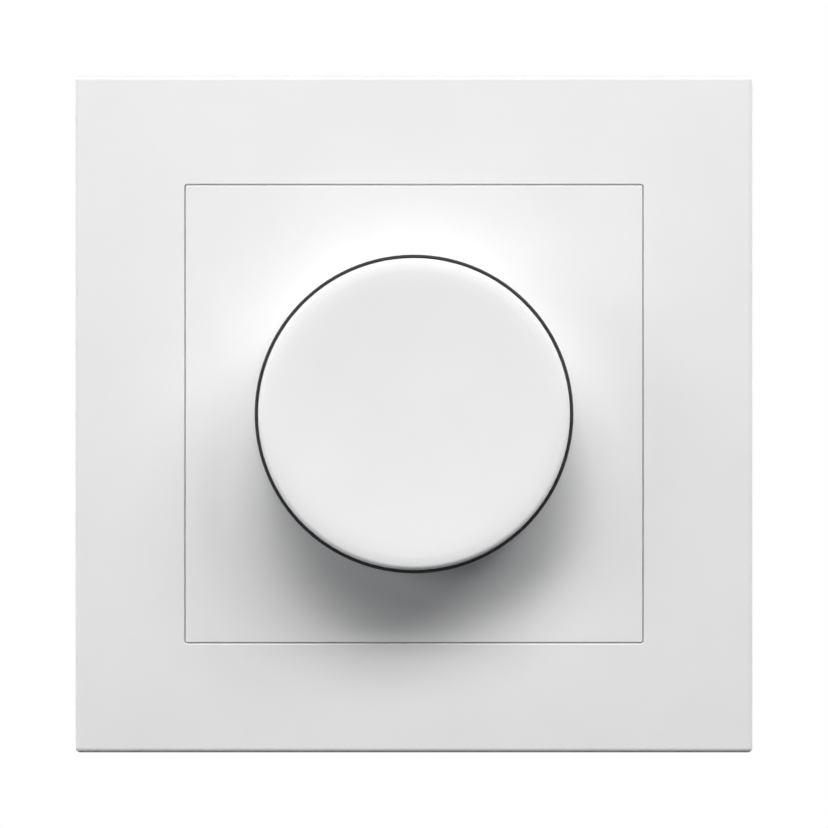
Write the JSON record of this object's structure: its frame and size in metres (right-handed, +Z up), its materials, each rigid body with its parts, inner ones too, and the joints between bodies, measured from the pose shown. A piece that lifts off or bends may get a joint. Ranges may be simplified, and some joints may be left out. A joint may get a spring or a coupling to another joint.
{
  "type": "dimmer switch",
  "caption": "Flush-mounted rotary push dimmer: square cover frame, centre plate, round knob, and insert with claws.",
  "frame": {"origin": "middle of the dimmer on the wall plane, on the knob's axis", "axes": "+X to the right and +Z up as seen from the room, +Y into the wall; the front faces -Y"},
  "size_m": [0.0816, 0.0465, 0.0816],
  "materials": {
    "frame_plastic": "gloss white, moulded",
    "knob_plastic": "gloss white, moulded",
    "ring_plastic": "anthracite, satin",
    "spring_steel": "bright spring steel",
    "nut_plastic": "light grey, moulded",
    "shaft_steel": "bright turned steel",
    "bushing_brass": "nickel-plated, turned",
    "zinc_steel": "zinc-plated sheet",
    "pot_plastic": "dark blue-black, moulded",
    "phenolic": "brown laminate with a carbon track",
    "contact_plastic": "natural, moulded",
    "switch_plastic": "black, moulded",
    "board_laminate": "green solder mask",
    "ferrite": "dark grey, sintered",
    "copper_wire": "enamelled copper",
    "triac_epoxy": "black epoxy with a tinned tab",
    "silicone_pad": "grey, soft",
    "capacitor_yellow": "yellow, moulded box",
    "capacitor_sleeve": "dark shrink sleeve",
    "fuse_plastic": "black, moulded",
    "terminal_brass": "tinned brass",
    "housing_plastic": "dark grey, fine eroded texture"
  },
  "bodies": {
    "insert": {"cover_frame": "frame_plastic", "centre_plate": "frame_plastic", "guide_ring": "ring_plastic", "plate_nut": "nut_plastic", "bushing": "bushing_brass", "bushing_nut": "zinc_steel", "pot_body": "pot_plastic", "resistor_wafer": "phenolic", "switch_body": "switch_plastic", "circuit_board": "board_laminate", "choke_core": "ferrite", "choke_winding": "copper_wire", "triac": "triac_epoxy", "thermal_pad": "silicone_pad", "film_capacitor": "capacitor_yellow", "electrolytic_capacitor": "capacitor_sleeve", "fuse": "fuse_plastic", "terminal_clamps": "terminal_brass", "terminal_screws": "zinc_steel", "housing": "housing_plastic", "housing_screws": "zinc_steel", "support_plate": "zinc_steel", "claw_pins": "shaft_steel"},
    "knob_push_body": {"switch_plunger": "contact_plastic", "return_spring": "spring_steel"},
    "knob_turn_body": {"knob": "knob_plastic", "knob_clip": "spring_steel", "spindle": "shaft_steel"},
    "wiper_body": {"wiper_carrier": "contact_plastic"},
    "claw_right_body": {"claw_right": "zinc_steel"},
    "claw_left_body": {"claw_left": "zinc_steel"},
    "claw_screw_right_body": {"claw_screw_right": "zinc_steel"},
    "claw_screw_left_body": {"claw_screw_left": "zinc_steel"}
  },
  "joints": [
    {"name": "knob_push", "type": "slide", "parent": "insert", "child": "knob_push_body", "axis": [0, 1, 0], "range_m": [0, 0.001], "stiffness_N_per_m": 1500, "springref_m": -0.001, "deforming": ["return_spring"]},
    {"name": "knob_turn", "type": "hinge", "parent": "knob_push_body", "child": "knob_turn_body", "pos_m": [0, 0, 0], "axis": [0, 1, 0], "range_deg": [0, 290]},
    {"name": "wiper_turn", "type": "hinge", "parent": "insert", "child": "wiper_body", "pos_m": [0, 0, 0], "axis": [0, 1, 0], "range_deg": [0, 290]},
    {"name": "claw_right_swing", "type": "hinge", "parent": "insert", "child": "claw_right_body", "pos_m": [0.026, 0.0025, 0], "axis": [0, 0, -1], "range_deg": [0, 22]},
    {"name": "claw_screw_right_drive", "type": "slide", "parent": "insert", "child": "claw_screw_right_body", "axis": [0, 1, 0], "range_m": [0, 0.00205]},
    {"name": "claw_left_swing", "type": "hinge", "parent": "insert", "child": "claw_left_body", "pos_m": [-0.026, 0.0025, 0], "axis": [0, 0, 1], "range_deg": [0, 22]},
    {"name": "claw_screw_left_drive", "type": "slide", "parent": "insert", "child": "claw_screw_left_body", "axis": [0, 1, 0], "range_m": [0, 0.00205]}
  ],
  "couplings": [
    {"joint": "wiper_turn", "follows": "knob_turn", "ratio": 1},
    {"joint": "claw_screw_right_drive", "follows": "claw_right_swing", "m_per_rad": 0.005317},
    {"joint": "claw_screw_left_drive", "follows": "claw_left_swing", "m_per_rad": 0.005317}
  ]
}
